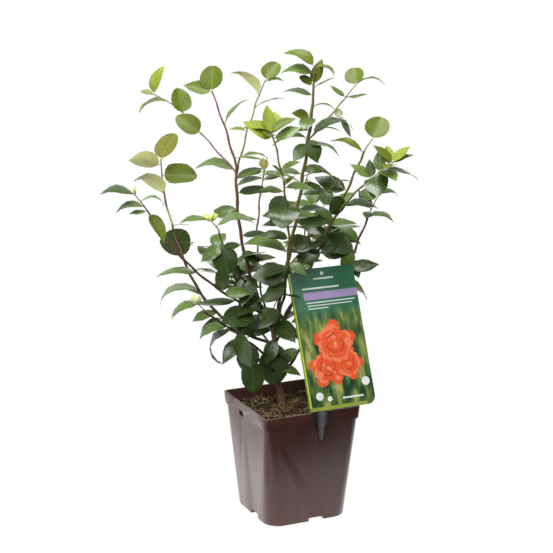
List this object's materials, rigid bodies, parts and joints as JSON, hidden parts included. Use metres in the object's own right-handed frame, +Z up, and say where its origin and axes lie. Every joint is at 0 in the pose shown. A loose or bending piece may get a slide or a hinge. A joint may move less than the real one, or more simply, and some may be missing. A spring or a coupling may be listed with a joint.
{
  "type": "potted camellia shrub",
  "caption": "Young evergreen camellia shrub with open, upright boughs of oval glossy leaves, in a square tapered nursery pot with a plant label clipped to its rim.",
  "frame": {"origin": "centre of the pot's flat underside, on the surface it stands on", "axes": "+Z up the plant; the pot's sides face X and Y; the plant label stands over the rim on the -Y side"},
  "size_m": [0.5255, 0.4153, 0.8045],
  "materials": {
    "pot_plastic": "satin",
    "peat": "matte",
    "label_card": "satin",
    "clip_plastic": "satin",
    "trunk_bark": "matte",
    "shoot_bark": "matte",
    "mature_leaf": "satin",
    "young_leaf": "satin"
  },
  "bodies": {
    "root": {"bough_back_left": "shoot_bark", "bough_back_low": "shoot_bark", "bough_back_right": "shoot_bark", "bough_back_thin": "shoot_bark", "bough_far_left": "shoot_bark", "bough_front_lime": "shoot_bark", "bough_leader": "shoot_bark", "bough_leader_side": "shoot_bark", "bough_left_bud": "shoot_bark", "bough_left_rear": "shoot_bark", "bough_left_rear_foot": "shoot_bark", "bough_left_tall": "shoot_bark", "bough_left_tall_foot": "shoot_bark", "bough_left_tall_inner": "shoot_bark", "bough_left_tall_side": "shoot_bark", "bough_low_front": "shoot_bark", "bough_low_left": "shoot_bark", "bough_right_fork": "shoot_bark", "bough_right_low": "shoot_bark", "bough_right_main": "shoot_bark", "label": "label_card", "label_clip": "clip_plastic", "leaves_back_left": "mature_leaf", "leaves_back_low": "mature_leaf", "leaves_back_right": "mature_leaf", "leaves_back_thin": "mature_leaf", "leaves_far_left": "mature_leaf", "leaves_front_lime": "young_leaf", "leaves_front_middle": "mature_leaf", "leaves_high_middle": "mature_leaf", "leaves_leader": "young_leaf", "leaves_leader_middle": "mature_leaf", "leaves_leader_side": "young_leaf", "leaves_left_bud": "mature_leaf", "leaves_left_core": "mature_leaf", "leaves_left_inner": "mature_leaf", "leaves_left_middle": "mature_leaf", "leaves_left_rear": "young_leaf", "leaves_left_tall": "young_leaf", "leaves_left_tall_inner": "young_leaf", "leaves_left_tall_low": "young_leaf", "leaves_left_tall_side": "young_leaf", "leaves_low_core": "mature_leaf", "leaves_low_front": "mature_leaf", "leaves_low_left": "mature_leaf", "leaves_low_left_hanging": "mature_leaf", "leaves_low_right": "mature_leaf", "leaves_middle_core": "mature_leaf", "leaves_right_fork": "young_leaf", "leaves_right_low": "mature_leaf", "leaves_right_main": "young_leaf", "leaves_right_middle": "mature_leaf", "leaves_right_side": "mature_leaf", "pot": "pot_plastic", "soil": "peat", "trunk": "trunk_bark"}
  },
  "joints": []
}
